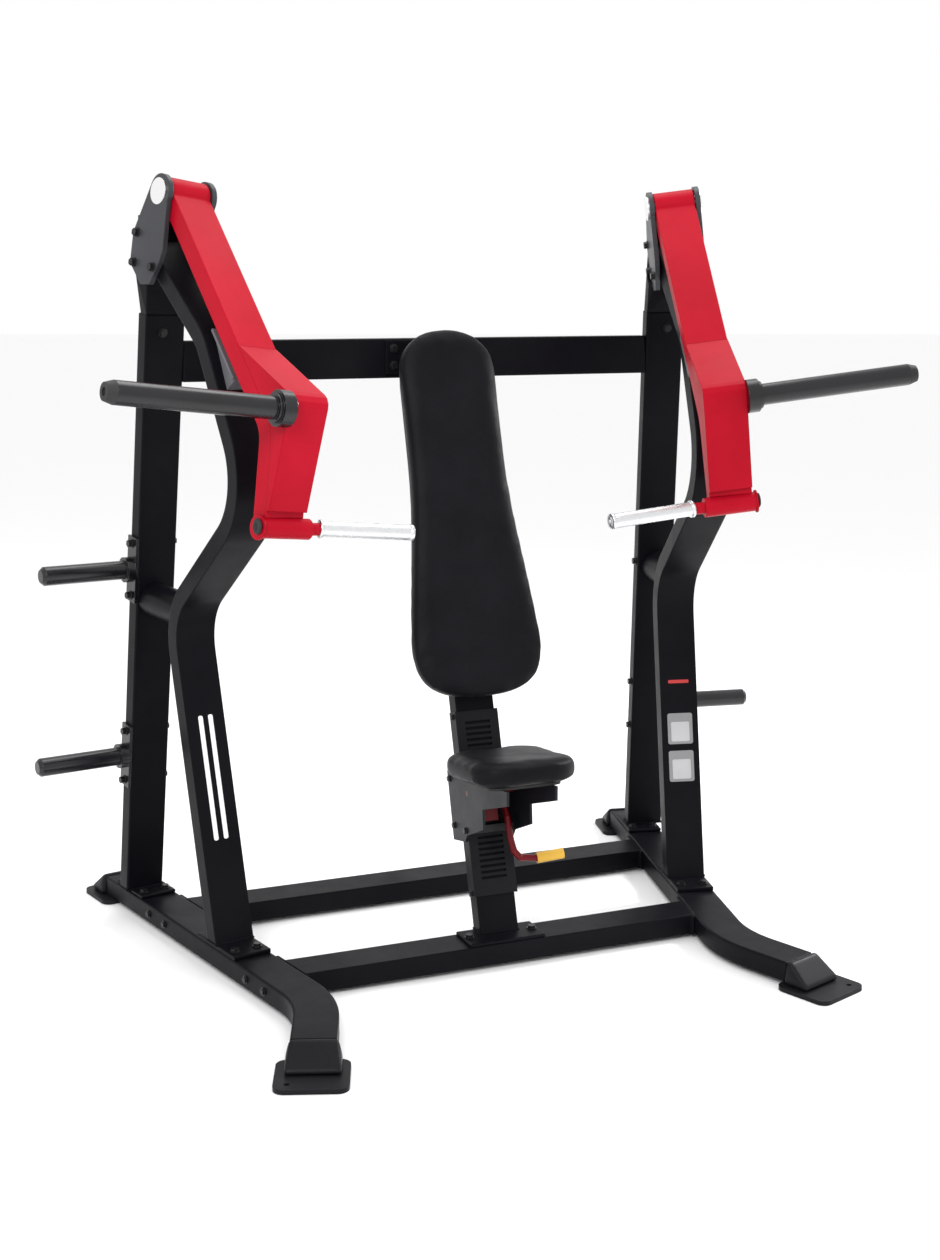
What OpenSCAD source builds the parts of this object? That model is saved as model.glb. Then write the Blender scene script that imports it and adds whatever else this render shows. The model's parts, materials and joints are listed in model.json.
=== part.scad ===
// Plate-loaded incline chest press, millimetres.
// +X is the user's left-to-right width, -Y is the front (where the user sits), +Z is up.
// Origin: on the floor, in the middle of the footprint's bounding box.

/* [Base] */
// Distance from the middle plane to each rail, measured level with the foot of the rear upright
rail_x = 720; // [650:5:800]
// Angle at which the two rails close towards the front
rail_toe = 13; // [0:1:20]
// Outward angle of each front leg
leg_splay = 20; // [0:1:35]
// Wide side of the frame tubes
tube_w = 100; // [80:5:120]
// Thickness of the rails and floor beams
rail_h = 50; // [40:5:60]
// Thickness of the uprights, columns and seat post
post_d = 45; // [40:1:60]

/* [Pivots] */
// Pivot centre, sideways from the middle plane
pivot_x = 636; // [560:2:720]
// Pivot centre, ahead of the foot of the rear upright
pivot_ahead = 270; // [200:5:340]
// Pivot centre above the floor
pivot_z = 1810; // [1700:5:1900]
// Angle by which each pivot axis turns forward at its outer end, which makes the arms converge
axis_yaw = 20.7; // [0:0.1:25]
// Angle by which each pivot axis rises at its outer end
axis_roll = 7.1; // [0:0.1:12]
// Pivot shaft diameter
shaft_dia = 40; // [30:1:50]

/* [Arms] */
// Wide side of the press arm tube
arm_w = 102; // [80:1:120]
// Thickness of the press arm tube
arm_d = 44; // [38:1:60]
// Angle of the upper arm below the horizontal at rest
arm_drop = 48.3; // [40:0.1:60]
// Diameter of the weight horns, for plates with a 50 mm hole
horn_dia = 50; // [28:1:50]
// Length of a weight horn on an arm
horn_len = 392; // [300:2:450]

/* [Seat] */
// Backward lean of the seat post and backrest
post_lean = 16.7; // [0:0.1:30]
// Seat cushion width
seat_w = 262; // [220:2:360]
// Seat cushion depth
seat_l = 292; // [240:2:380]
// Seat cushion thickness
seat_t = 62; // [40:1:80]
// Backrest cushion thickness
back_t = 64; // [45:1:80]

/* [Part shown] */
// Node to draw, or all

/* [Hidden] */

$fn = 64;
eps = 1;
big = 4000;
bend_step = 4;

black = [0.09, 0.09, 0.10];
dark_grey = [0.16, 0.16, 0.17];
red = [0.78, 0.03, 0.05];
chrome = [0.85, 0.86, 0.87];
leather = [0.05, 0.05, 0.055];
rubber_black = [0.03, 0.03, 0.03];
plate_grey = [0.25, 0.26, 0.27];
yellow = [0.90, 0.66, 0.12];
bolt_grey = [0.12, 0.12, 0.13];

// The foot of the rear upright, on the Y axis
y0 = 463;

// Base rails: plan path in the rail's own frame, whose -Y runs forward along the rail
foot_t = 10;
rail_z = foot_t + rail_h / 2;
rail_top = foot_t + rail_h;
rail_rear = 165;
rail_corner = 867;
leg_turn = rail_toe + leg_splay;
leg_len = 207;
rail_path = [
  [0, rail_rear],
  [0, -rail_corner],
  [leg_len * sin(leg_turn), -rail_corner - leg_len * cos(leg_turn)]
];
rail_bends = [0, 300, 0];

foot_plate_w = 158;
foot_plate_l = 144;
front_plate_s = 268;
rear_plate_s = 181;
foot_hole_r = 6;
foot_hole_x = 50;
foot_hole_s = 44;
cap_len = 68;
cap_w = 118;
cap_round = 8;

// Floor beams, ahead of the foot of the rear upright
rear_beam_ahead = 145;
front_beam_ahead = 646;
flange_t = 8;

// Uprights: front face at the base, and the lean
upright_u = 13;
upright_w0 = -1;
upright_lean = 7.45;
upright_tilt = 0.9;
upright_top = 1540;
base_t = 10;
upright_len = (upright_top - rail_top - base_t) / cos(upright_lean);

// Front columns: side path in the rail's own frame, as [forward, up]
column_path = [[458, 48], [276, 837], [669, 1149], [482, 1491], [205, 1706]];
column_bends = [0, 150, 170, 120, 0];

// Pivot plates, shaft and hub
gap_half = arm_w / 2 + 2;
plate_t = 12;
plate_out = gap_half + plate_t;
disc_t = 5;
disc_r = 30;
hub_r = 35;
bush_r = 26;
run_gap = 0.05;
plate_bolts = [[-82, -90], [-87, -158], [-9, -170]];
plate_outline = [
  [40, 0], [33, -25], [29, -132], [18, -159], [-17, -208],
  [-55, -208], [-104, -158], [-99, -89], [-38, 14]
];

// Press arms: side path as [forward, up] from the pivot
elbow = [452, -508];
arm_path = [[0, 0], elbow, [elbow[0], -716]];
arm_bends = [0, 90, 0];
gusset_outline = [
  [330, -337], [512, -427], [522, -434], [528, -446], [528, -458],
  [484, -682], [462, -682], [440, -520], [400, -440]
];

// Weight horn and handle, as [outward, forward, up] from the pivot
horn_root = [arm_w / 2, 519, -465];
horn_back = 6.7;
collar_r = 39;
collar_t = 25;
cap_t = 20;
tube_r = 23;
neck_r = 14;
grip_r = 17;
grip_flange_r = 21;
grip_flange_t = 6;
handle_outer = [58, 463, -719];
handle_step = [-66, 473, -718];
handle_neck = [-94, 475, -717];
handle_inner = [-297, 555, -712];

// Arm stops, along the arm from the pivot
stop_s = [398, 484];
stop_clear = 0.4;
stop_t = 15;
stop_r = 17;

// Storage horns on the uprights
storage_r = 23;
storage_len = 240;
storage_collar = 20;
storage_upper_z = 921;
storage_lower_z = 436;
storage_pitch = 132;

// Seat post: front face at its base
post_ahead = 641;
post_z = 65;
post_len = 1440;
rack_t = 5;
rack_side = 6;
rack_low = 94;
rack_high = 545;
rack_bolt_back = 14;
rack_bolts = [102, 533];
slot_w = 66;
slot_h = 6;
slot_pitch = 14;
slot_count = 28;
slot_low = 134;

board_t = 12;
board_gap = 12;
back_outline = [
  [573, 0], [576, 50], [584, 92], [600, 126], [622, 148], [652, 161], [686, 167],
  [724, 167], [800, 160], [901, 148], [980, 138], [1052, 131], [1110, 127.5],
  [1167, 126], [1260, 125.5], [1365, 125], [1400, 122], [1426, 113], [1448, 96],
  [1469, 70], [1480, 36], [1482, 0]
];

seat_ahead = 698;
seat_z = 500;
seat_tilt = 7;
seat_corner = 80;
seat_plate_t = 6;

carriage_x = tube_w / 2 + 8;
carriage_t = 6;
carriage_outline = [
  [-500, 268], [-445, 470], [-827, 500], [-827, 444], [-684, 396],
  [-687, 347], [-588, 304], [-575, 284]
];

// Bolts of the carriage's side plates, in the post's frame: [behind its face, along the post]
carriage_bolt_spots = [[60, 270], [60, 385], [-13, 256]];

// Release lever, in the post's frame: [sideways, ahead of the face, along the post]
lever_pin = [0, 45, 345];
lever_pin_r = 7;
rod_r = 8;
joint_r = 8.6;
lever_points = [
  [22, 45, 345], [24, 56, 316], [27, 62, 280], [30, 61, 226], [36, 60, 196], [50, 60, 178], [92, 62, 172]
];
grip_end = [158, 74, 176];

function heading(p, q) = atan2(q[1] - p[1], q[0] - p[0]);
function wrap(a) = a - 360 * floor((a + 180) / 360);
function turn_at(p, i) = wrap(heading(p[i], p[i + 1]) - heading(p[i - 1], p[i]));
function tangent(p, r, i) = r[i] * tan(abs(turn_at(p, i)) / 2);
function normal(a) = [cos(a + 90), sin(a + 90)];
function reversed(list) = [for (i = [len(list) - 1 : -1 : 0]) list[i]];

// The middle of the bend at corner i of a path
function bend_centre(p, r, i) =
  let (h = heading(p[i - 1], p[i]))
  p[i] - tangent(p, r, i) * [cos(h), sin(h)] + r[i] * sign(turn_at(p, i)) * normal(h);

// One edge of a strip along a path, at a distance to its left, with an arc at each corner
function edge_points(p, r, left) =
  let (last = len(p) - 1)
  concat(
    [p[0] + left * normal(heading(p[0], p[1]))],
    [for (i = [1 : 1 : last - 1])
      let (h = heading(p[i - 1], p[i]), turn = turn_at(p, i), steps = ceil(abs(turn) / bend_step))
      for (k = [0 : steps])
        bend_centre(p, r, i) + (left - sign(turn) * r[i]) * normal(h + turn * k / steps)],
    [p[last] + left * normal(heading(p[last - 1], p[last]))]
  );

// Draws its children on the right (+1) or mirrored on the left (-1)
module on_side(side) {
  if (side < 0) mirror([1, 0, 0]) children();
  else children();
}

// A rectangular bar along a path in the XY plane, with round bends
module bent_bar(path, bends, width, depth) {
  translate([0, 0, -width / 2]) linear_extrude(width) polygon(concat(
    edge_points(path, bends, depth / 2),
    reversed(edge_points(path, bends, -depth / 2))
  ));
}

// Turns a side profile, [forward, up], upright in a frame whose -Y is forward
module side_view() {
  rotate([90, 0, -90]) children();
}

module rounded_rect(x, y, r) {
  square([x - 2 * r, y], center = true);
  square([x, y - 2 * r], center = true);
  for (i = [-1, 1], j = [-1, 1])
    translate([i * (x / 2 - r), j * (y / 2 - r)]) circle(r);
}

// A round bar between two points
module rod(a, b, r1, r2) {
  d = b - a;
  translate(a)
    rotate([0, acos(d[2] / norm(d)), atan2(d[1], d[0])])
      cylinder(h = norm(d), r1 = r1, r2 = r2);
}

module bolt_head(r = 10, h = 8) {
  cylinder(r = r * 1.25, h = 2);
  cylinder(r = r, h = h, $fn = 6);
}

module rail_frame() {
  translate([rail_x, y0, 0]) rotate([0, 0, -rail_toe]) children();
}

// At the rail's front corner, with -Y along the front leg
module leg_frame() {
  rail_frame() translate([0, -rail_corner, 0]) rotate([0, 0, leg_turn]) children();
}

module upright_frame() {
  rail_frame()
    translate([upright_u, -upright_w0, rail_top + base_t])
      rotate([upright_lean, -upright_tilt, 0])
        children();
}

// At the pivot, with +X outward along the shaft and -Y forward
module pivot_frame() {
  translate([pivot_x, y0 - pivot_ahead, pivot_z]) rotate([0, -axis_roll, -axis_yaw]) children();
}

// At the base of the seat post's front face, with +Z along the post
module post_frame() {
  translate([0, y0 - post_ahead, post_z]) rotate([-post_lean, 0, 0]) children();
}

module seat_frame() {
  translate([0, y0 - seat_ahead, seat_z]) rotate([-seat_tilt, 0, 0]) children();
}

module rail(side) {
  color(black) on_side(side) rail_frame()
    translate([0, 0, rail_z]) bent_bar(rail_path, rail_bends, rail_h, tube_w);
}

module foot_plate() {
  linear_extrude(foot_t) difference() {
    rounded_rect(foot_plate_w, foot_plate_l, 24);
    children();
  }
}

module front_foot_plate(side) {
  color(dark_grey) on_side(side) leg_frame() translate([0, -front_plate_s, 0])
    foot_plate() translate([foot_hole_x, -foot_hole_s]) circle(foot_hole_r);
}

module rear_foot_plate(side) {
  color(dark_grey) on_side(side) rail_frame() translate([0, rear_plate_s, 0]) foot_plate();
}

// The moulded cap on a tube's end: a flat top with round shoulders that slopes down to a wide toe
module foot_cap() {
  hull() {
    translate([-cap_w / 2, -cap_len, foot_t]) cube([cap_w, cap_len - 2, 9]);
    translate([-tube_w / 2, -1, foot_t]) cube([tube_w, 1, 9]);
    for (x = [-1, 1]) {
      translate([x * (tube_w / 2 - cap_round + 3), -cap_round, rail_top + 3 - cap_round])
        sphere(r = cap_round, $fn = 32);
      translate([x * (cap_w / 2 - cap_round), -16, foot_t + 22]) sphere(r = cap_round, $fn = 32);
    }
  }
}

module foot_caps(side) {
  color(dark_grey) on_side(side) {
    leg_frame() translate([0, -leg_len, 0]) foot_cap();
    rail_frame() translate([0, rail_rear, 0]) rotate([0, 0, 180]) foot_cap();
  }
}

// Everything from the rail's inner face outward
module beyond_rail(side) {
  on_side(side) rail_frame() translate([-tube_w / 2, -big / 2, -eps]) cube([300, big, 200]);
}

module floor_beam(ahead) {
  color(black) difference() {
    union() {
      translate([-rail_x, y0 - ahead - tube_w / 2, foot_t]) cube([2 * rail_x, tube_w, rail_h]);
      for (side = [-1, 1]) on_side(side) rail_frame()
        translate([-tube_w / 2 - flange_t, -ahead / cos(rail_toe) - 75 + 20 * sin(rail_toe), foot_t])
          cube([flange_t, 150, rail_h - 3]);
    }
    beyond_rail(-1);
    beyond_rail(1);
  }
}

module upright_bar(side, low, high, front, back) {
  on_side(side) upright_frame()
    translate([-tube_w / 2, front, low]) cube([tube_w, back - front, high - low]);
}

module base_plate(side, w_low, w_high) {
  on_side(side) rail_frame()
    translate([-tube_w / 2 + 2, -w_high, rail_top]) cube([tube_w - 4, w_high - w_low, base_t]);
}

module below(z) {
  translate([-big / 2, -big / 2, z - 200]) cube([big, big, 200]);
}

module upright(side) {
  color(black) {
    difference() {
      upright_bar(side, -20, upright_len, 0, post_d);
      below(rail_top + base_t);
    }
    base_plate(side, -100, 56);
  }
}

module column_bar(side) {
  on_side(side) rail_frame() side_view() bent_bar(column_path, column_bends, tube_w, post_d);
}

module column(side) {
  color(black) {
    difference() {
      column_bar(side);
      below(rail_top + base_t);
      head_block(side);
      pivot_plate_pair(side, 0);
    }
    base_plate(side, 375, 565);
  }
}

module side_strut(side) {
  strut_z = 846;
  color(black) difference() {
    on_side(side) rail_frame()
      translate([5, -60, strut_z]) rotate([90, 0, 0]) cylinder(r = 42, h = 270);
    upright_bar(side, -20, upright_len, -1, post_d + 60);
    column_bar(side);
    on_side(side) rail_frame() side_view()
      translate([0, 0, -tube_w / 2])
        linear_extrude(tube_w) polygon([[300, 760], [420, 760], [420, 1000], [330, 900]]);
  }
}

// Links the upright's top to the space between the pivot plates
module head_block(side) {
  hull() {
    upright_bar(side, upright_len, upright_len + 4, 0, post_d - 14);
    on_side(side) pivot_frame()
      translate([-gap_half - eps, 46, -165]) cube([2 * gap_half + 2 * eps, 54, 116]);
  }
}

// Room for the bolt heads outside the pivot plates
module plate_pockets(side) {
  depth = 60;
  on_side(side) pivot_frame()
    for (x = [plate_out + depth, -plate_out])
      translate([x, 0, 0]) side_view() linear_extrude(depth) plate_shape();
}

module head(side) {
  color(black) difference() {
    head_block(side);
    pivot_plate_pair(side, 0);
    plate_pockets(side);
  }
}

module back_beam() {
  color(black) difference() {
    translate([-rail_x, y0 - 158, 1380]) cube([2 * rail_x, 50, 98]);
    for (side = [-1, 1]) on_side(side) upright_frame()
      translate([-tube_w / 2, -big / 2, 0]) cube([300, big, big / 2]);
  }
}

module plate_shape() {
  circle(40);
  polygon(plate_outline);
}

module pivot_plate_pair(side, bore) {
  on_side(side) pivot_frame()
    for (x = [plate_out, -gap_half])
      translate([x, 0, 0]) side_view() linear_extrude(plate_t) difference() {
        plate_shape();
        if (bore > 0) circle(bore);
      }
}

module pivot_plates(side) {
  color(dark_grey) pivot_plate_pair(side, shaft_dia / 2);
}

module pivot_shaft(side) {
  color(chrome) on_side(side) pivot_frame() rotate([0, 90, 0]) {
    translate([0, 0, -plate_out]) cylinder(d = shaft_dia, h = 2 * plate_out);
    for (z = [-plate_out - disc_t, plate_out])
      translate([0, 0, z]) cylinder(r = disc_r, h = disc_t);
  }
}

// In the arm's plane, with +X down the upper arm and +Y to its front
module arm_line() {
  side_view() rotate([0, 0, -arm_drop]) children();
}

module stop_bracket(side) {
  back = arm_d / 2 + stop_clear + stop_t;
  color(plate_grey) difference() {
    on_side(side) pivot_frame() arm_line() {
      translate([372, -back - 6, -46]) cube([140, 6, 92]);
      translate([380, -back - 30, 40]) cube([124, 26, 6]);
      translate([0, 0, -34]) linear_extrude(68)
        polygon([[376, -back - 6], [508, -back - 6], [508, -92], [430, -74], [376, -58]]);
    }
    column_bar(side);
  }
}

module stop_bumpers(side) {
  color(rubber_black) on_side(side) pivot_frame() arm_line()
    for (s = stop_s)
      translate([s, -arm_d / 2 - stop_clear, 0]) rotate([90, 0, 0])
        cylinder(r1 = stop_r - 2, r2 = stop_r, h = stop_t);
}

module post_bar() {
  post_frame() translate([-tube_w / 2, 0, -20]) cube([tube_w, post_d, post_len + 20]);
}

module seat_post() {
  color(black) {
    difference() {
      post_bar();
      below(rail_top + 8);
    }
    translate([-98, y0 - front_beam_ahead - 48, rail_top]) cube([196, 96, 8]);
  }
}

module rack_cover() {
  color(dark_grey) post_frame() difference() {
    translate([-tube_w / 2 - rack_side, -rack_t, rack_low])
      cube([tube_w + 2 * rack_side, rack_t + 34, rack_high - rack_low]);
    translate([-tube_w / 2, 0, rack_low - eps]) cube([tube_w, big, big]);
    for (i = [0 : slot_count - 1])
      translate([-slot_w / 2, -rack_t - eps, slot_low + i * slot_pitch])
        cube([slot_w, rack_t + 2 * eps, slot_h]);
  }
}

module post_top_bracket() {
  color(black) difference() {
    union() {
      translate([-38, y0 - 212, 1392]) cube([76, 54, 78]);
      translate([-112, y0 - 166, 1390]) cube([224, 8, 84]);
    }
    post_bar();
    post_frame() translate([-big / 2, -big, -20]) cube([big, big, big]);
  }
}

module back_shape(inset) {
  mid = (back_outline[0][0] + back_outline[len(back_outline) - 1][0]) / 2;
  half = mid - back_outline[0][0];
  f = (half - inset) / half;
  right = [for (p = back_outline) [p[1] * (1 - inset / 140), mid + (p[0] - mid) * f]];
  left = [for (i = [len(right) - 2 : -1 : 1]) [-right[i][0], right[i][1]]];
  polygon(concat(right, left));
}

module backrest_board() {
  color(rubber_black) post_frame() {
    translate([0, -board_gap, 0]) rotate([90, 0, 0]) linear_extrude(board_t) back_shape(16);
    for (p = [760, 1240]) translate([-40, -board_gap, p]) cube([80, board_gap, 90]);
  }
}

module backrest_pad() {
  color(leather) post_frame() translate([0, -board_gap - board_t, 0])
    rotate([90, 0, 0]) linear_extrude(back_t) back_shape(0);
}

// A peg on the outer face of an upright, at height z
module storage_horn(side, z) {
  p = (z - rail_top - base_t) / cos(upright_lean);
  color(black) on_side(side) upright_frame() translate([tube_w / 2, post_d / 2, p]) {
    translate([0, -24, -storage_pitch / 2 - 16]) cube([7, 48, storage_pitch + 32]);
    rotate([0, 90, 0]) {
      translate([0, 0, 7]) cylinder(r = storage_r + 8, h = storage_collar);
      cylinder(r = storage_r, h = storage_len - 8);
      translate([0, 0, storage_len - 8]) cylinder(r1 = storage_r, r2 = storage_r - 7, h = 8);
    }
  }
}

// Bolts of one storage peg: heads outside and nuts inside the upright
module storage_bolts(side, z, outer) {
  p = (z - rail_top - base_t) / cos(upright_lean);
  on_side(side) upright_frame() translate([0, post_d / 2, p])
    for (dz = [-storage_pitch / 2, storage_pitch / 2]) {
      translate([tube_w / 2 + outer, 0, dz]) rotate([0, 90, 0]) bolt_head(9, 12);
      translate([-tube_w / 2, 0, dz]) rotate([0, -90, 0]) bolt_head(9, 9);
    }
}

module frame_bolts() {
  color(bolt_grey) {
    for (side = [-1, 1]) {
      on_side(side) rail_frame() {
        for (x = [-30, 30], w = [30, 532])
          translate([x, -w, rail_top + base_t]) bolt_head();
        for (w = [100, 190, 622, 708])
          translate([tube_w / 2, -w, rail_z]) rotate([0, 90, 0]) bolt_head(8, 6);
      }
      on_side(side) pivot_frame() for (b = plate_bolts) {
        translate([plate_out, -b[0], b[1]]) rotate([0, 90, 0]) bolt_head(9, 10);
        translate([-plate_out, -b[0], b[1]]) rotate([0, -90, 0]) bolt_head(9, 10);
      }
      on_side(side) upright_frame()
        translate([7, 0, upright_len - 42]) rotate([90, 0, 0]) bolt_head(9, 9);
      storage_bolts(side, storage_upper_z, side < 0 ? 7 : 0);
      storage_bolts(side, storage_lower_z, 7);
      for (p = rack_bolts)
        post_frame() translate([side * (tube_w / 2 + rack_side), rack_bolt_back, p])
          rotate([0, side * 90, 0]) bolt_head(6, 6);
      translate([side * 82, y0 - front_beam_ahead, rail_top + 8]) bolt_head();
      for (z = [1412, 1454])
        translate([side * 90, y0 - 166, z]) rotate([90, 0, 0]) bolt_head(9, 8);
    }
  }
}

module arm_bar() {
  side_view() bent_bar(arm_path, arm_bends, arm_w, arm_d);
}

function placed(p) = [p[0], -p[1], p[2]];

module arm_beam(side) {
  color(red) on_side(side) pivot_frame() difference() {
    union() {
      arm_bar();
      rotate([0, 90, 0]) cylinder(r = hub_r, h = arm_w, center = true);
    }
    rotate([0, 90, 0]) cylinder(r = bush_r, h = arm_w + 2 * eps, center = true);
    rod(placed(handle_outer), placed(handle_step), tube_r, tube_r);
  }
}

module arm_gusset(side) {
  color(red) on_side(side) pivot_frame() difference() {
    side_view() translate([0, 0, -arm_w / 2]) linear_extrude(arm_w) polygon(gusset_outline);
    arm_bar();
  }
}

module arm_bush(side) {
  color(chrome) on_side(side) pivot_frame() rotate([0, 90, 0]) difference() {
    cylinder(r = bush_r, h = arm_w, center = true);
    cylinder(r = shaft_dia / 2 + run_gap, h = arm_w + 2 * eps, center = true);
  }
}

// Along a weight horn from its root on the arm's outer face
module horn_frame() {
  pivot_frame() translate(placed(horn_root)) rotate([0, 0, horn_back]) rotate([0, 90, 0]) children();
}

module arm_horn(side) {
  color(black) on_side(side) difference() {
    horn_frame() {
      translate([0, 0, -10]) cylinder(r = collar_r, h = collar_t + 10);
      cylinder(d = horn_dia + 14, h = collar_t + 8);
      cylinder(d = horn_dia, h = horn_len);
    }
    pivot_frame() translate([arm_w / 2 - 100, -700, -600]) cube([100, 400, 300]);
  }
}

module horn_cap(side) {
  color(rubber_black) on_side(side) horn_frame() translate([0, 0, horn_len]) difference() {
    cylinder(r1 = horn_dia / 2, r2 = horn_dia / 2 - 6, h = cap_t);
    translate([0, 0, cap_t - 4]) cylinder(r = 9, h = 4 + eps);
  }
}

module handle_tube(side) {
  color(red) on_side(side) pivot_frame() {
    rod(placed(handle_outer), placed(handle_step), tube_r, tube_r);
    rod(placed(handle_step), placed(handle_neck), neck_r, neck_r);
    rod(placed(handle_outer), placed(handle_outer + [4, 0, 0]), tube_r + 4, tube_r + 4);
  }
}

module handle_grip(side) {
  start = placed(handle_neck);
  finish = placed(handle_inner);
  step = (finish - start) / norm(finish - start);
  color(chrome) on_side(side) pivot_frame() difference() {
    union() {
      rod(start, finish, grip_r, grip_r);
      rod(start, start + step * grip_flange_t, grip_flange_r, grip_flange_r);
      rod(finish - step * grip_flange_t, finish, grip_r + 2, grip_r + 2);
    }
    rod(placed(handle_step), placed(handle_neck), neck_r, neck_r);
  }
}

module seat_pad() {
  color(leather) seat_frame() translate([0, 0, -seat_t / 2])
    linear_extrude(seat_t) rounded_rect(seat_w, seat_l, seat_corner);
}

module under_seat() {
  seat_frame() translate([-big / 2, -big / 2, -seat_t / 2 - seat_plate_t]) cube([big, big, big]);
}

module seat_plate() {
  color(rubber_black) seat_frame() translate([0, 0, -seat_t / 2 - seat_plate_t])
    linear_extrude(seat_plate_t) rounded_rect(seat_w - 80, seat_l - 80, 30);
}

module carriage(side) {
  color(plate_grey) on_side(side) difference() {
    translate([carriage_x, 0, 0]) rotate([90, 0, 90]) linear_extrude(carriage_t)
      polygon([for (p = carriage_outline) [p[0] + y0, p[1]]]);
    under_seat();
    post_frame() translate([0, -lever_pin[1], lever_pin[2]]) rotate([0, 90, 0])
      cylinder(r = lever_pin_r + run_gap, h = 200);
  }
}

// Heads of the bolts that hold the glide pads, outside the side plates
module carriage_bolts() {
  color(bolt_grey)
    for (side = [-1, 1], b = carriage_bolt_spots)
      post_frame() translate([side * (carriage_x + carriage_t), b[0], b[1]])
        rotate([0, side * 90, 0]) bolt_head(7, 6);
}

module glide_pads() {
  reach = 2 * carriage_x;
  color(rubber_black) post_frame() {
    for (p = [258, 398])
      translate([-reach / 2, post_d + 0.4, p]) cube([reach, 20, 24]);
    translate([-reach / 2, -rack_t - 0.4 - 16, 246]) cube([reach, 16, 18]);
  }
}

module release_lever() {
  color(red) post_frame() {
    translate([-carriage_x - carriage_t, -lever_pin[1], lever_pin[2]]) rotate([0, 90, 0])
      cylinder(r = lever_pin_r, h = 2 * (carriage_x + carriage_t));
    for (i = [0 : len(lever_points) - 2]) {
      rod(placed(lever_points[i]), placed(lever_points[i + 1]), rod_r, rod_r);
      translate(placed(lever_points[i + 1])) sphere(r = joint_r);
    }
  }
}

module lever_grip() {
  a = placed(lever_points[len(lever_points) - 1]);
  b = placed(grip_end);
  color(yellow) post_frame() difference() {
    rod(a, b, 13, 13);
    translate(a) sphere(r = joint_r);
  }
}

// A block that hangs from the cross pin, with its toe just in front of the rack
module pawl() {
  color(red) post_frame() difference() {
    union() {
      translate([-42, -lever_pin[1] - 4, 318]) cube([54, 32, 36]);
      translate([-42, -44, 274]) cube([54, 44 - rack_t - 1, 46]);
    }
    translate([-50, -lever_pin[1], lever_pin[2]]) rotate([0, 90, 0]) cylinder(r = lever_pin_r, h = 100);
  }
}

rail(-1);  // rail_left
rail(1);  // rail_right
front_foot_plate(-1);  // front_foot_plate_left
front_foot_plate(1);  // front_foot_plate_right
rear_foot_plate(-1);  // rear_foot_plate_left
rear_foot_plate(1);  // rear_foot_plate_right
foot_caps(-1);  // foot_caps_left
foot_caps(1);  // foot_caps_right
floor_beam(rear_beam_ahead);  // rear_floor_beam
floor_beam(front_beam_ahead);  // front_floor_beam
upright(-1);  // upright_left
upright(1);  // upright_right
column(-1);  // column_left
column(1);  // column_right
side_strut(-1);  // side_strut_left
side_strut(1);  // side_strut_right
head(-1);  // head_left
head(1);  // head_right
back_beam();
pivot_plates(-1);  // pivot_plates_left
pivot_plates(1);  // pivot_plates_right
pivot_shaft(-1);  // pivot_shaft_left
pivot_shaft(1);  // pivot_shaft_right
stop_bracket(-1);  // stop_bracket_left
stop_bracket(1);  // stop_bracket_right
stop_bumpers(-1);  // stop_bumpers_left
stop_bumpers(1);  // stop_bumpers_right
seat_post();
rack_cover();
post_top_bracket();
backrest_board();
backrest_pad();
storage_horn(-1, storage_upper_z);  // storage_horn_left_upper
storage_horn(-1, storage_lower_z);  // storage_horn_left_lower
storage_horn(1, storage_lower_z);  // storage_horn_right_lower
frame_bolts();
arm_beam(-1);  // arm_beam_left
arm_beam(1);  // arm_beam_right
arm_gusset(-1);  // arm_gusset_left
arm_gusset(1);  // arm_gusset_right
arm_bush(-1);  // arm_bush_left
arm_bush(1);  // arm_bush_right
arm_horn(-1);  // arm_horn_left
arm_horn(1);  // arm_horn_right
horn_cap(-1);  // horn_cap_left
horn_cap(1);  // horn_cap_right
handle_tube(-1);  // handle_tube_left
handle_tube(1);  // handle_tube_right
handle_grip(-1);  // handle_grip_left
handle_grip(1);  // handle_grip_right
seat_pad();
seat_plate();
carriage(-1);  // carriage_left
carriage(1);  // carriage_right
glide_pads();
carriage_bolts();
release_lever();
lever_grip();
pawl();
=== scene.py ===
"""Plate-loaded incline chest press: looks, cushions, trim, camera and light."""
import json
import math

import bmesh
import bpy
import numpy as np
from mathutils import Euler, Matrix, Vector


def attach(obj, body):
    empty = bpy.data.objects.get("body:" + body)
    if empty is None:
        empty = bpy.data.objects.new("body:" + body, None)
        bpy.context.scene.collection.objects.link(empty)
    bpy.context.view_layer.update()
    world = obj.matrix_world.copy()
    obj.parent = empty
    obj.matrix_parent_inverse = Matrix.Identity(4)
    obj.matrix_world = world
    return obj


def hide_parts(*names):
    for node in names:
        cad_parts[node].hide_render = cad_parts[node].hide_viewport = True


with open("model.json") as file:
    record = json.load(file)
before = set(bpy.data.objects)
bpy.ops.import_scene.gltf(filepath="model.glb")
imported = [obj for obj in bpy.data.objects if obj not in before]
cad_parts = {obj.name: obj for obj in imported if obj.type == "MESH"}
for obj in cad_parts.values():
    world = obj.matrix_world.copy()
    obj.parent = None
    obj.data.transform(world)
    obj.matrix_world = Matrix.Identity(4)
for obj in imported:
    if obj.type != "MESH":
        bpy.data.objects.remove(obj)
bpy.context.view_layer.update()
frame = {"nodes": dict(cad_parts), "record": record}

# Lengths are in metres. The machine's front looks along -Y.
SIDES = (("left", -1), ("right", 1))
SLOTS = {part["node"]: part["material_slot"] for part in frame["record"]["subparts"]}


# ---------------------------------------------------------------- places

def joint(name):
    """The record's joint with this name."""
    return next(j for j in frame["record"]["behaviour"]["joints"] if j["name"] == name)


def node_object(node):
    """The Blender object of a CAD node."""
    return frame["nodes"][node]


def along(axis, origin):
    """A matrix that puts local +Z along axis at origin."""
    turn = Vector(axis).normalized().to_track_quat("Z", "Y").to_matrix().to_4x4()
    return Matrix.Translation(origin) @ turn


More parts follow.
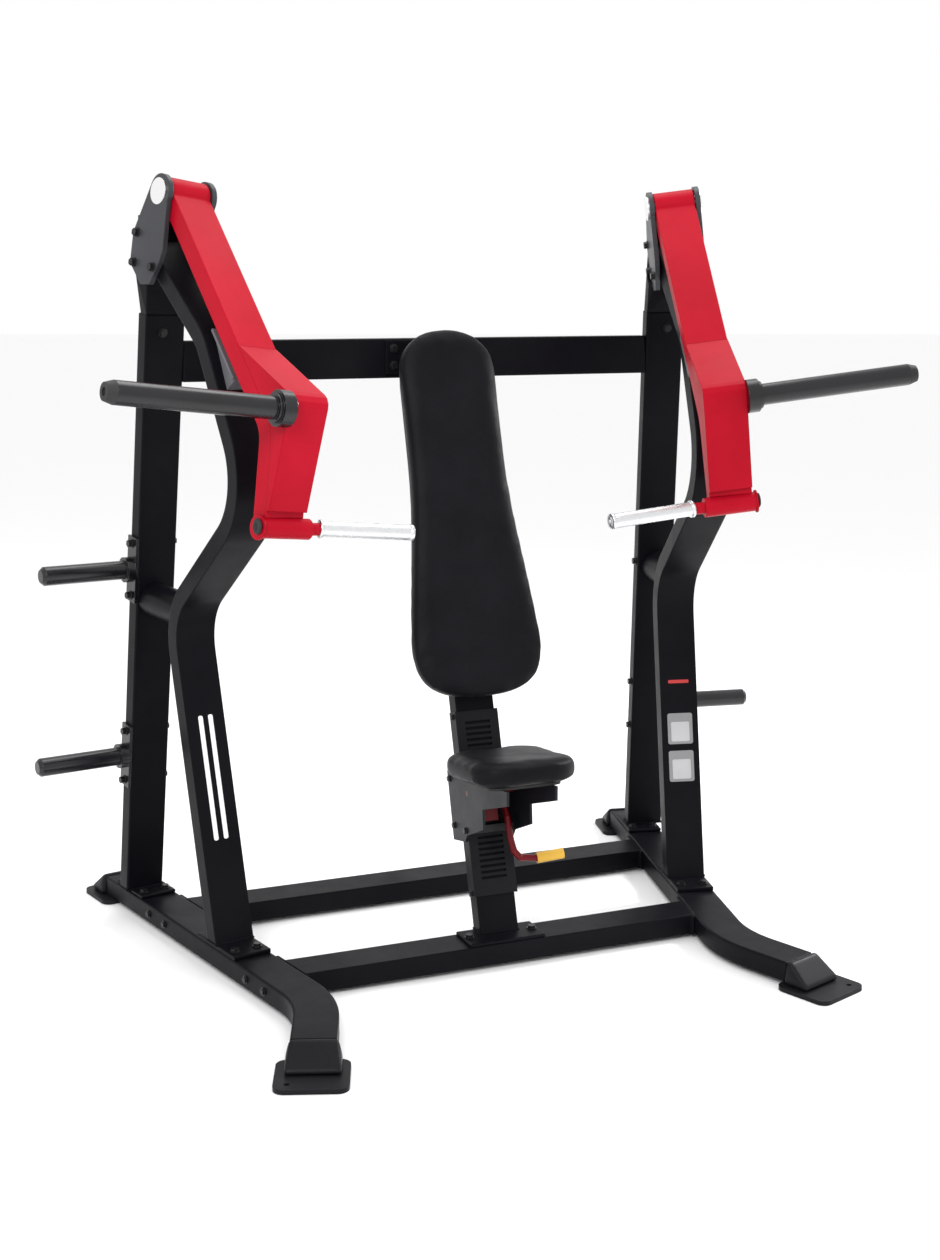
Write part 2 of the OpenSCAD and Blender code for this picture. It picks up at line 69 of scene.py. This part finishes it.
# The seat post leans back by POST_LEAN, and the seat's top tips by SEAT_TILT.
POST_UP = Vector(joint("seat_height")["axis"]).normalized()
POST_LEAN = math.atan2(POST_UP.y, POST_UP.z)
SEAT_TILT = math.radians(7)

# The columns' front faces look this way, more or less.
FORWARD = (0, -1, 0.2)


# ---------------------------------------------------------------- materials

class Graph:
    """A material's node tree, with short calls for the nodes used here."""

    def __init__(self, name, color, roughness, metallic=0.0):
        self.material = bpy.data.materials.new(name)
        self.material.use_nodes = True
        self.tree = self.material.node_tree
        self.shader = self.tree.nodes["Principled BSDF"]
        self.shader.inputs["Base Color"].default_value = (*color, 1)
        self.shader.inputs["Roughness"].default_value = roughness
        self.shader.inputs["Metallic"].default_value = metallic
        self.place = self.tree.nodes.new("ShaderNodeTexCoord").outputs["Object"]

    def put(self, socket, value):
        """Sets a shader socket to a constant."""
        self.shader.inputs[socket].default_value = value

    def link(self, a, b):
        """Joins an output to an input."""
        self.tree.links.new(a, b)

    def noise(self, scale, detail=2.0, rough=0.5):
        """A noise value."""
        node = self.tree.nodes.new("ShaderNodeTexNoise")
        node.inputs["Scale"].default_value = scale
        node.inputs["Detail"].default_value = detail
        node.inputs["Roughness"].default_value = rough
        self.link(self.place, node.inputs["Vector"])
        return node.outputs["Fac"]

    def cells(self, scale, feature="F1"):
        """A cell pattern's distance."""
        node = self.tree.nodes.new("ShaderNodeTexVoronoi")
        node.feature = feature
        node.inputs["Scale"].default_value = scale
        self.link(self.place, node.inputs["Vector"])
        return node.outputs["Distance"]

    def spread(self, value, low, high, out_low, out_high):
        """Maps a value from one range to another, clamped."""
        node = self.tree.nodes.new("ShaderNodeMapRange")
        self.link(value, node.inputs["Value"])
        names = ("From Min", "From Max", "To Min", "To Max")
        for name, number in zip(names, (low, high, out_low, out_high)):
            node.inputs[name].default_value = number
        return node.outputs["Result"]

    def combine(self, kind, a, b):
        """A maths node on two values or numbers."""
        node = self.tree.nodes.new("ShaderNodeMath")
        node.operation = kind
        for socket, value in zip(node.inputs, (a, b)):
            if isinstance(value, (int, float)):
                socket.default_value = value
            else:
                self.link(value, socket)
        return node.outputs["Value"]

    def tint(self, factor, low, high):
        """Base colour between two colours, by a factor."""
        node = self.tree.nodes.new("ShaderNodeValToRGB")
        node.color_ramp.elements[0].color = (*low, 1)
        node.color_ramp.elements[1].color = (*high, 1)
        self.link(factor, node.inputs["Fac"])
        self.link(node.outputs["Color"], self.shader.inputs["Base Color"])

    def roughen(self, value, low, high, smoothest, roughest):
        """Roughness between two numbers, as a value goes from low to high."""
        self.link(self.spread(value, low, high, smoothest, roughest), self.shader.inputs["Roughness"])

    def edges(self, radius):
        """Rounded-edge normals, for corners that are too small to model."""
        node = self.tree.nodes.new("ShaderNodeBevel")
        node.samples = 6
        node.inputs["Radius"].default_value = radius
        return node.outputs["Normal"]

    def bump(self, height, distance, strength=1.0, normal=None):
        """Bump from a height value."""
        node = self.tree.nodes.new("ShaderNodeBump")
        node.inputs["Distance"].default_value = distance
        node.inputs["Strength"].default_value = strength
        self.link(height, node.inputs["Height"])
        if normal:
            self.link(normal, node.inputs["Normal"])
        self.link(node.outputs["Normal"], self.shader.inputs["Normal"])


def powder_coat(name, low, high, roughness, specular, edge):
    """Powder-coated steel: fine orange peel and faint cloudiness."""
    g = Graph(name, high, roughness)
    cloud = g.noise(3.0, 4.0, 0.6)
    g.tint(g.spread(cloud, 0.35, 0.7, 0.0, 1.0), low, high)
    g.roughen(g.noise(9.0, 5.0, 0.65), 0.3, 0.75, roughness - 0.05, roughness + 0.09)
    g.put("Specular IOR Level", specular)
    peel = g.combine("ADD", g.noise(700.0, 2.0), g.combine("MULTIPLY", g.noise(170.0, 2.0), 0.8))
    g.bump(peel, 0.00012, 0.55, g.edges(edge))
    return g.material


def plain_plastic(name, low, high, roughness, texture, metallic):
    """Moulded or matt material with a fine texture and slight colour shift."""
    g = Graph(name, high, roughness, metallic)
    g.tint(g.spread(g.noise(8.0, 4.0), 0.3, 0.7, 0.0, 1.0), low, high)
    g.roughen(g.noise(25.0, 3.0), 0.3, 0.7, roughness - 0.06, roughness + 0.08)
    g.bump(g.noise(texture, 3.0), 0.0002, 0.5, g.edges(0.0012))
    return g.material


def bright_steel():
    """Turned and polished steel with soft smudges."""
    g = Graph("bright_steel", (0.9, 0.9, 0.9), 0.2, 1.0)
    g.roughen(g.noise(40.0, 4.0), 0.3, 0.7, 0.16, 0.32)
    g.bump(g.noise(900.0, 1.0), 0.00004, 0.5, g.edges(0.0012))
    return g.material


def knurled_chrome():
    """Bright plating: the knurl itself is modelled, so this is only the metal."""
    g = Graph("knurled_chrome", (0.74, 0.75, 0.76), 0.28, 1.0)
    g.roughen(g.noise(60.0, 4.0), 0.3, 0.7, 0.22, 0.4)
    g.bump(g.cells(1500.0), 0.0001, 0.5)
    return g.material


def black_leather():
    """Black upholstery: pebble grain, soft sheen and colour that shifts a little."""
    g = Graph("black_leather", (0.006, 0.006, 0.007), 0.42)
    cloud = g.spread(g.noise(5.0, 5.0, 0.6), 0.3, 0.75, 0.0, 1.0)
    g.tint(cloud, (0.003, 0.003, 0.0045), (0.008, 0.008, 0.0105))
    g.roughen(g.noise(14.0, 4.0), 0.3, 0.7, 0.34, 0.46)
    g.put("Specular IOR Level", 0.09)
    g.put("Sheen Weight", 0.01)
    g.put("Sheen Roughness", 0.4)
    grain = g.combine("MULTIPLY", g.cells(420.0, "DISTANCE_TO_EDGE"), 1.6)
    fine = g.combine("MULTIPLY", g.noise(1300.0, 3.0), 0.35)
    g.bump(g.combine("ADD", grain, fine), 0.0006, 0.6)
    return g.material


# Darker colour, lighter colour, roughness, specular level, edge radius
POWDER_COATS = {
    "black_paint": ((0.003, 0.003, 0.0045), (0.006, 0.006, 0.008), 0.38, 0.065, 0.006),
    "dark_grey_paint": ((0.006, 0.006, 0.0075), (0.011, 0.011, 0.0135), 0.4, 0.12, 0.0025),
    "plate_paint": ((0.03, 0.031, 0.036), (0.045, 0.047, 0.054), 0.36, 0.3, 0.0025),
    "red_paint": ((0.36, 0.003, 0.013), (0.45, 0.005, 0.02), 0.36, 0.07, 0.004),
    "horn_black": ((0.003, 0.003, 0.004), (0.006, 0.006, 0.009), 0.24, 0.5, 0.002),
    "bracket_grey": ((0.09, 0.09, 0.1), (0.14, 0.14, 0.15), 0.4, 0.3, 0.002),
    "grey_steel": ((0.009, 0.01, 0.013), (0.017, 0.019, 0.023), 0.4, 0.16, 0.002),
    "lever_red": ((0.1, 0.001, 0.004), (0.15, 0.002, 0.007), 0.26, 0.22, 0.0015),
}

# Darker colour, lighter colour, roughness, texture scale, metallic
PLASTICS = {
    "black_board": ((0.005, 0.005, 0.006), (0.011, 0.011, 0.012), 0.6, 500.0, 0.0),
    "black_rubber": ((0.006, 0.006, 0.007), (0.012, 0.012, 0.013), 0.55, 350.0, 0.0),
    "black_fasteners": ((0.008, 0.008, 0.009), (0.016, 0.016, 0.018), 0.34, 700.0, 0.5),
    "lever_yellow": ((0.62, 0.35, 0.03), (0.76, 0.46, 0.05), 0.45, 500.0, 0.0),
    "label_white": ((0.78, 0.78, 0.78), (0.86, 0.86, 0.86), 0.4, 900.0, 0.0),
    "label_grey": ((0.2, 0.2, 0.205), (0.26, 0.26, 0.265), 0.4, 900.0, 0.0),
    "label_panel": ((0.42, 0.42, 0.43), (0.5, 0.5, 0.51), 0.4, 900.0, 0.0),
    "label_red": ((0.42, 0.02, 0.02), (0.5, 0.03, 0.03), 0.4, 900.0, 0.0),
}

MATERIALS = {name: powder_coat(name, *look) for name, look in POWDER_COATS.items()}
MATERIALS.update({name: plain_plastic(name, *look) for name, look in PLASTICS.items()})
MATERIALS["bright_steel"] = bright_steel()
MATERIALS["knurled_chrome"] = knurled_chrome()
MATERIALS["black_leather"] = black_leather()


def wear(piece, slot):
    """Gives a piece its material."""
    piece.data.materials.clear()
    piece.data.materials.append(MATERIALS[slot])


def dress_nodes():
    """Every CAD node wears its slot's material, and the pivot plates a lighter grey paint."""
    for node, slot in SLOTS.items():
        wear(node_object(node), slot)
    for side, _ in SIDES:
        wear(node_object(f"pivot_plates_{side}"), "plate_paint")


# ---------------------------------------------------------------- mesh helpers

def add_object(name, data):
    """An object with this data, linked to the scene."""
    thing = bpy.data.objects.new(name, data)
    bpy.context.scene.collection.objects.link(thing)
    return thing


def mesh_of(name, b):
    """A mesh from a bmesh, which is freed."""
    data = bpy.data.meshes.new(name)
    b.to_mesh(data)
    b.free()
    return data


def shade_smooth(piece):
    """Smooth shading on every face."""
    for face in piece.data.polygons:
        face.use_smooth = True


def dress(piece, slot, body):
    """Gives a piece its slot's material and the body that it rides on."""
    wear(piece, slot)
    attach(piece, body)


def new_piece(name, b, body, slot):
    """Makes a smooth piece from a bmesh, on a body, in a slot's material."""
    piece = add_object(name, mesh_of(name, b))
    shade_smooth(piece)
    dress(piece, slot, body)
    return piece


def ring(b, matrix, height, radii):
    """Vertices round the matrix's Z at a height, one for each radius."""
    verts = []
    for i, radius in enumerate(radii):
        angle = 2 * math.pi * i / len(radii)
        spot = Vector((radius * math.cos(angle), radius * math.sin(angle), height))
        verts.append(b.verts.new(matrix @ spot))
    return verts


def skin(b, rings, closed=False):
    """Joins rings by quads. The two end rings get caps, or are joined if it is closed."""
    following = rings[1:] + rings[:1] if closed else rings[1:]
    for low, high in zip(rings, following):
        for i in range(len(low)):
            j = (i + 1) % len(low)
            b.faces.new((low[i], low[j], high[j], high[i]))
    if not closed:
        b.faces.new(list(reversed(rings[0])))
        b.faces.new(rings[-1])
    bmesh.ops.recalc_face_normals(b, faces=b.faces)


def apply_modifiers(piece):
    """Replaces a piece's mesh with its evaluated one."""
    graph = bpy.context.evaluated_depsgraph_get()
    data = bpy.data.meshes.new_from_object(piece.evaluated_get(graph))
    piece.modifiers.clear()
    piece.data = data


def fair(piece, voxel, rounds):
    """Evens a piece's surface, which also rounds its edges. No remesh if voxel is None."""
    if voxel:
        remesh = piece.modifiers.new("remesh", "REMESH")
        remesh.mode = "VOXEL"
        remesh.voxel_size = voxel
    smooth = piece.modifiers.new("smooth", "SMOOTH")
    smooth.factor = 0.5
    smooth.iterations = rounds
    apply_modifiers(piece)


def local_box(data, turned):
    """Lowest and highest corner of a mesh in a turned frame."""
    inverse = turned.inverted()
    points = [inverse @ v.co for v in data.vertices]
    low = Vector([min(p[i] for p in points) for i in range(3)])
    high = Vector([max(p[i] for p in points) for i in range(3)])
    return low, high


def fit_box(piece, turned, box, inset):
    """Scales a piece in a turned frame so that it fills a box less an inset on every side."""
    low, high = local_box(piece.data, turned)
    inverse = turned.inverted()
    for v in piece.data.vertices:
        p = inverse @ v.co
        for i in range(3):
            share = (p[i] - low[i]) / (high[i] - low[i])
            p[i] = box[0][i] + inset + share * (box[1][i] - box[0][i] - 2 * inset)
        v.co = turned @ p


# ---------------------------------------------------------------- camera and light

CAMERA_PLACE = (-1.5759, -3.8418, 1.6044)
CAMERA_TURN = math.radians(22.23)
CAMERA_DOWN = math.radians(11.19)
CAMERA_LENS = 49.52
CAMERA_REACH = 60

FLOOR_HALF = 80
FLOOR_DROP = 0.0005

# Name, place, the point that it faces, side of the square, power in watts
LIGHTS = (
    ("key", (-2.6, -3.2, 3.6), (0, 0, 0.9), 1.6, 95),
    ("rim", (3.2, 0.4, 2.4), (0, 0, 1.1), 0.6, 85),
    ("top", (0.4, 0.8, 4.2), (0, 0, 0.6), 2.2, 50),
)


def camera():
    """The view from in front of the machine's left side, a little above it."""
    data = bpy.data.cameras.new("camera")
    data.lens = CAMERA_LENS
    data.clip_end = CAMERA_REACH
    eye = add_object("camera", data)
    eye.location = CAMERA_PLACE
    eye.rotation_euler = Euler((math.pi / 2 - CAMERA_DOWN, 0, -CAMERA_TURN))
    bpy.context.scene.camera = eye


def area_light(name, place, aim, size, power):
    """A square soft light that faces a point."""
    data = bpy.data.lights.new(name, "AREA")
    data.shape = "SQUARE"
    data.size = size
    data.energy = power
    light = add_object(name, data)
    light.location = place
    light.rotation_euler = (Vector(aim) - Vector(place)).to_track_quat("-Z", "Y").to_euler()


def pale_floor():
    """A wide pale floor, just under the machine's feet."""
    b = bmesh.new()
    bmesh.ops.create_grid(b, x_segments=1, y_segments=1, size=FLOOR_HALF)
    floor = add_object("floor", mesh_of("floor", b))
    floor.location.z = -FLOOR_DROP
    pale = Graph("floor_paint", (0.95, 0.95, 0.95), 0.75)
    pale.put("Specular IOR Level", 0.2)
    floor.data.materials.append(pale.material)


def white_world():
    """A plain white surround."""
    world = bpy.data.worlds.new("world")
    bpy.context.scene.world = world
    world.use_nodes = True
    background = world.node_tree.nodes["Background"]
    background.inputs["Color"].default_value = (1.0, 1.0, 1.0, 1)
    background.inputs["Strength"].default_value = 1.0


def studio():
    """A pale floor, a white world and three soft lights."""
    bpy.context.scene.view_settings.view_transform = "Standard"
    pale_floor()
    white_world()
    for light in LIGHTS:
        area_light(*light)


# ---------------------------------------------------------------- cushions

CUSHION_VOXEL = 0.006
CUSHION_START_INSET = 0.004
CUSHION_END_INSET = 0.0015
CUSHION_SWELL = 0.006
CUSHION_LAST_ROUNDS = 16
CLOTH_FRAMES = 20
CLOTH_PRESSURE = 4


def blow_up(pad):
    """Runs the cloth under pressure, then limits how far each point moved."""
    rest = [v.co.copy() for v in pad.data.vertices]
    cloth = pad.modifiers.new("cloth", "CLOTH")
    cloth.settings.use_pressure = True
    cloth.settings.uniform_pressure_force = CLOTH_PRESSURE
    cloth.settings.effector_weights.gravity = 0
    scene = bpy.context.scene
    for step in range(1, CLOTH_FRAMES + 1):
        scene.frame_set(step)
    apply_modifiers(pad)
    scene.frame_set(1)
    for v, start in zip(pad.data.vertices, rest):
        move = v.co - start
        if move.length > CUSHION_SWELL:
            v.co = start + move.normalized() * CUSHION_SWELL


def cushion(name, node, body, tilt, rounds):
    """A stuffed pad in a CAD cushion's place: rounded, blown up by cloth pressure, then faired."""
    pad = add_object(name, node_object(node).data.copy())
    turned = Euler((-tilt, 0, 0)).to_matrix().to_4x4()
    box = local_box(pad.data, turned)
    fit_box(pad, turned, box, CUSHION_START_INSET)
    fair(pad, CUSHION_VOXEL, rounds)
    blow_up(pad)
    fair(pad, None, CUSHION_LAST_ROUNDS)
    fit_box(pad, turned, box, CUSHION_END_INSET)
    subdivide = pad.modifiers.new("subdivide", "SUBSURF")
    subdivide.levels = 1
    subdivide.render_levels = 1
    apply_modifiers(pad)
    shade_smooth(pad)
    dress(pad, "black_leather", body)
    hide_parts(node)


# ---------------------------------------------------------------- grips and plugs

GRIP_RADIUS = 0.0168
KNURL_DEPTH = 0.00045
KNURL_RIDGES = 26
KNURL_STEPS = 5 * KNURL_RIDGES
KNURL_ROW = 0.0011
KNURL_STRETCH = 1.15
# Plain length at the grip's outer and inner end, and the two collars' radii
OUTER_PLAIN, INNER_PLAIN = 0.0075, 0.0085
OUTER_COLLAR, INNER_COLLAR = 0.0205, 0.0188
COLLAR_GAP = 0.0004
COLLAR_EDGE = 0.0012

# (radius, height) of a tube plug, from inside the tube to its dished middle
PLUG_PROFILE = ((0.0165, -0.002), (0.0175, 0.0014), (0.016, 0.0026), (0.0075, 0.003), (0.007, 0.0012))
PLUG_STEPS = 48

# A point between the two grips, and how far out to stand to find an outer end
MIDDLE = (0, -0.3, 1.0)
WELL_OUTSIDE = 3
HANDLE_HEIGHT = 1.2


def bar_ends(node, toward):
    """The two ends of a long round node's axis; the second is the one nearer to a point."""
    points = np.array([v.co for v in node_object(node).data.vertices])
    middle = (points.max(0) + points.min(0)) / 2
    axis = np.linalg.svd(points - points.mean(0), full_matrices=False)[2][0]
    reach = (points - middle) @ axis
    ends = [Vector(middle + axis * reach.min()), Vector(middle + axis * reach.max())]
    ends.sort(key=lambda p: -(p - Vector(toward)).length)
    return ends


def knurled_radii(height):
    """Radii round the bar at a height, where two slanting sets of ridges cross."""
    pitch = 2 * math.pi * GRIP_RADIUS / KNURL_RIDGES
    slant = 2 * math.pi * height / (pitch * KNURL_STRETCH)
    radii = []
    for i in range(KNURL_STEPS):
        wave = KNURL_RIDGES * 2 * math.pi * i / KNURL_STEPS
        lift = KNURL_DEPTH * (math.cos(wave + slant) + math.cos(wave - slant)) / 2
        radii.append(GRIP_RADIUS + lift)
    return radii


def knurled_bar(matrix, length):
    """A bar with a diamond knurl and a plain collar at each end."""
    low = OUTER_PLAIN
    high = length - INNER_PLAIN
    rows = int((high - low) / KNURL_ROW)
    outer = [(OUTER_COLLAR - 0.002, 0.0), (OUTER_COLLAR, 0.0008),
             (OUTER_COLLAR, low - COLLAR_EDGE), (OUTER_COLLAR - 0.001, low - COLLAR_GAP)]
    inner = [(INNER_COLLAR - 0.001, high + COLLAR_GAP), (INNER_COLLAR, high + COLLAR_EDGE),
             (INNER_COLLAR, length - COLLAR_EDGE), (INNER_COLLAR - 0.0012, length),
             (0.006, length), (0.005, length - 0.003)]
    b = bmesh.new()
    rings = [ring(b, matrix, height, [radius] * KNURL_STEPS) for radius, height in outer]
    for i in range(rows + 1):
        height = low + (high - low) * i / rows
        rings.append(ring(b, matrix, height, knurled_radii(height)))
    rings += [ring(b, matrix, height, [radius] * KNURL_STEPS) for radius, height in inner]
    skin(b, rings)
    return b


def grips():
    """Knurled hand grips in the place of the plain CAD bars."""
    for side, _ in SIDES:
        node = f"handle_grip_{side}"
        outer, inner = bar_ends(node, MIDDLE)
        bar = knurled_bar(along(inner - outer, outer), (inner - outer).length)
        piece = new_piece(f"knurled_grip_{side}", bar, f"arm_{side}", "knurled_chrome")
        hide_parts(node)


def handle_plugs():
    """A pressed plug in the outer end of each handle tube."""
    for side, sign in SIDES:
        inner, outer = bar_ends(f"handle_tube_{side}", (sign * WELL_OUTSIDE, 0, HANDLE_HEIGHT))
        matrix = along(outer - inner, outer)
        b = bmesh.new()
        skin(b, [ring(b, matrix, height, [radius] * PLUG_STEPS) for radius, height in PLUG_PROFILE])
        new_piece(f"handle_plug_{side}", b, f"arm_{side}", "black_rubber")


# ---------------------------------------------------------------- blank labels

# Width, height and corner radius
STRIPE = (0.012, 0.30, 0.005)
CARD = (0.068, 0.082, 0.006)
CARD_PANEL = (0.05, 0.052, 0.004)
HEADING = (0.056, 0.009, 0.003)
LABEL_THICKNESS = 0.0006
CORNER_STEP = 15

STRIPE_HEIGHT = 0.456
STRIPE_SHIFTS = (-0.013, 0.013)
CARD_HEIGHTS = (0.356, 0.453)
PANEL_DROP = 0.008
PANEL_LIFT = 0.0005
HEADING_HEIGHT = 0.575


def face_frame(node, toward, height):
    """A frame on the flat face of a node that looks towards a direction, at a height."""
    data = node_object(node).data
    toward = Vector(toward)
    spots = []
    normal = Vector()
    for face in data.polygons:
        if face.normal.dot(toward) > 0.9 and abs(face.center.z - height) < 0.35:
            corners = [data.vertices[i].co for i in face.vertices]
            if min(c.z for c in corners) <= height <= max(c.z for c in corners):
                normal += face.normal * face.area
                spots += corners
    normal.normalize()
    up = (Vector((0, 0, 1)) - normal * normal.z).normalized()
    across = up.cross(normal)
    ends = [across.dot(s) for s in spots]
    plane = normal.dot(spots[0])
    origin = across * (min(ends) + max(ends)) / 2 + normal * plane
    origin += up * ((height - origin.z) / up.z)
    turn = Matrix((across, up, normal)).transposed().to_4x4()
    return Matrix.Translation(origin) @ turn


def plaque(name, matrix, size, material, lift=0.0):
    """A thin rounded plate on a face of the frame."""
    width, height, radius = size
    outline = []
    for cx, cy, start in ((1, 1, 0), (-1, 1, 90), (-1, -1, 180), (1, -1, 270)):
        for degrees in range(start, start + 91, CORNER_STEP):
            angle = math.radians(degrees)
            outline.append((cx * (width / 2 - radius) + radius * math.cos(angle),
                            cy * (height / 2 - radius) + radius * math.sin(angle)))
    b = bmesh.new()
    rings = []
    for z in (lift, lift + LABEL_THICKNESS):
        rings.append([b.verts.new(matrix @ Vector((x, y, z))) for x, y in outline])
    skin(b, rings)
    piece = add_object(name, mesh_of(name, b))
    piece.data.materials.append(MATERIALS[material])
    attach(piece, "frame")


def blank_labels():
    """Plain markings in the usual places: stripes on one column, two blank cards on the other."""
    for i, shift in enumerate(STRIPE_SHIFTS):
        face = face_frame("column_left", FORWARD, STRIPE_HEIGHT)
        plaque(f"stripe_{i}", face @ Matrix.Translation((shift, 0, 0)), STRIPE, "label_white")
    for i, height in enumerate(CARD_HEIGHTS):
        face = face_frame("column_right", FORWARD, height)
        plaque(f"card_{i}", face, CARD, "label_grey")
        inner = face @ Matrix.Translation((0, -PANEL_DROP, 0))
        plaque(f"card_panel_{i}", inner, CARD_PANEL, "label_panel", PANEL_LIFT)
    heading = face_frame("column_right", FORWARD, HEADING_HEIGHT)
    plaque("heading_bar", heading, HEADING, "label_red")


# ---------------------------------------------------------------- welds

BEAD_RADIUS = 0.0028
BEAD_STEP = 0.0012
BEAD_SIDES = 6
RIPPLE_DEPTH = 0.13
RIPPLE_STEPS = 3.4

# Just above the top of the base plates and of the seat post's foot
BASE_PLATE_WELD = 0.0704
POST_FOOT_WELD = 0.0684


def section(node, height):
    """The closed outline where a level plane cuts a node's mesh."""
    level = Vector((0, 0, 1))
    b = bmesh.new()
    b.from_mesh(node_object(node).data)
    bmesh.ops.remove_doubles(b, verts=b.verts, dist=1e-5)
    geometry = b.verts[:] + b.edges[:] + b.faces[:]
    cut = bmesh.ops.bisect_plane(b, geom=geometry, plane_co=(0, 0, height), plane_no=level)["geom_cut"]
    spots = {v.co.copy().freeze() for v in cut if isinstance(v, bmesh.types.BMVert)}
    b.free()
    middle = sum(spots, Vector()) / len(spots)
    x = level.orthogonal().normalized()
    y = level.cross(x)
    return sorted(spots, key=lambda p: math.atan2((p - middle).dot(y), (p - middle).dot(x)))


def weld_bead(node, height):
    """A rippled bead of weld round a frame tube, at a height."""
    outline = section(node, height)
    points = []
    for a, c in zip(outline, outline[1:] + outline[:1]):
        count = max(1, int((c - a).length / BEAD_STEP))
        points += [a.lerp(c, i / count) for i in range(count)]
    middle = sum(points, Vector()) / len(points)
    b = bmesh.new()
    rings = []
    for i, p in enumerate(points):
        ahead = (points[(i + 1) % len(points)] - points[i - 1]).normalized()
        side = (p - middle).normalized()
        side = (side - ahead * side.dot(ahead)).normalized()
        up = ahead.cross(side)
        radius = BEAD_RADIUS * (1 + RIPPLE_DEPTH * math.sin(i * 2 * math.pi / RIPPLE_STEPS))
        bead = []
        for k in range(BEAD_SIDES):
            angle = 2 * math.pi * k / BEAD_SIDES
            bead.append(b.verts.new(p + side * radius * math.cos(angle) + up * radius * math.sin(angle)))
        rings.append(bead)
    skin(b, rings, closed=True)
    new_piece(f"weld_{node}", b, "frame", "black_paint")


def foot_welds():
    """Beads where the uprights, columns and seat post meet their base plates."""
    for node in ("upright_left", "upright_right", "column_left", "column_right"):
        weld_bead(node, BASE_PLATE_WELD)
    weld_bead("seat_post", POST_FOOT_WELD)


# ---------------------------------------------------------------- rounded corners

RAIL_CORNER = 0.005
COLUMN_CORNER = 0.005
UPRIGHT_CORNER = 0.004
BEAM_CORNER = 0.004
ARM_CORNER = 0.003
SAME_SPOT = 2e-5
FLAT_ANGLE = math.radians(0.6)
CORNER_ANGLE = math.radians(30)

CAP_VOXEL = 0.003
CAP_ROUNDS = 22


def softened(node, body, width):
    """A copy of a CAD tube with its long corners rounded, as drawn tube has."""
    b = bmesh.new()
    b.from_mesh(node_object(node).data)
    bmesh.ops.remove_doubles(b, verts=b.verts, dist=SAME_SPOT)
    bmesh.ops.dissolve_limit(b, angle_limit=FLAT_ANGLE, verts=b.verts, edges=b.edges)
    sharp = [e for e in b.edges if e.is_manifold and e.calc_face_angle() > CORNER_ANGLE]
    bmesh.ops.bevel(b, geom=sharp, offset=width, offset_type="OFFSET", segments=3, profile=0.5,
                    affect="EDGES", clamp_overlap=True, miter_outer="ARC")
    # Thin flanges leave faces of no width where two bevels meet.
    bmesh.ops.remove_doubles(b, verts=b.verts, dist=SAME_SPOT)
    bmesh.ops.dissolve_degenerate(b, dist=SAME_SPOT, edges=b.edges)
    piece = new_piece(f"{node}_rounded", b, body, SLOTS[node])
    even = piece.modifiers.new("even", "WEIGHTED_NORMAL")
    even.keep_sharp = False
    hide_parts(node)


def round_tubes():
    """Rounds the corners of every rectangular tube."""
    for side, _ in SIDES:
        softened(f"rail_{side}", "frame", RAIL_CORNER)
        softened(f"upright_{side}", "frame", UPRIGHT_CORNER)
        softened(f"column_{side}", "frame", COLUMN_CORNER)
        softened(f"arm_beam_{side}", f"arm_{side}", ARM_CORNER)
    for node in ("back_beam", "rear_floor_beam", "front_floor_beam", "seat_post"):
        softened(node, "frame", BEAM_CORNER)


def moulded_caps():
    """Foot caps with the rounded edges of a moulding, in the place of the plain CAD ones."""
    upright = Matrix.Identity(4)
    for side, _ in SIDES:
        node = f"foot_caps_{side}"
        cap = add_object(f"moulded_caps_{side}", node_object(node).data.copy())
        box = local_box(cap.data, upright)
        fair(cap, CAP_VOXEL, CAP_ROUNDS)
        fit_box(cap, upright, box, 0.0)
        shade_smooth(cap)
        dress(cap, "dark_grey_paint", "frame")
        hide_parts(node)


# ---------------------------------------------------------------- the scene

dress_nodes()
camera()
studio()
grips()
handle_plugs()
blank_labels()
foot_welds()
round_tubes()
moulded_caps()
cushion("backrest_cushion", "backrest_pad", "frame", POST_LEAN, rounds=40)
cushion("seat_cushion", "seat_pad", "seat_carriage", SEAT_TILT, rounds=34)
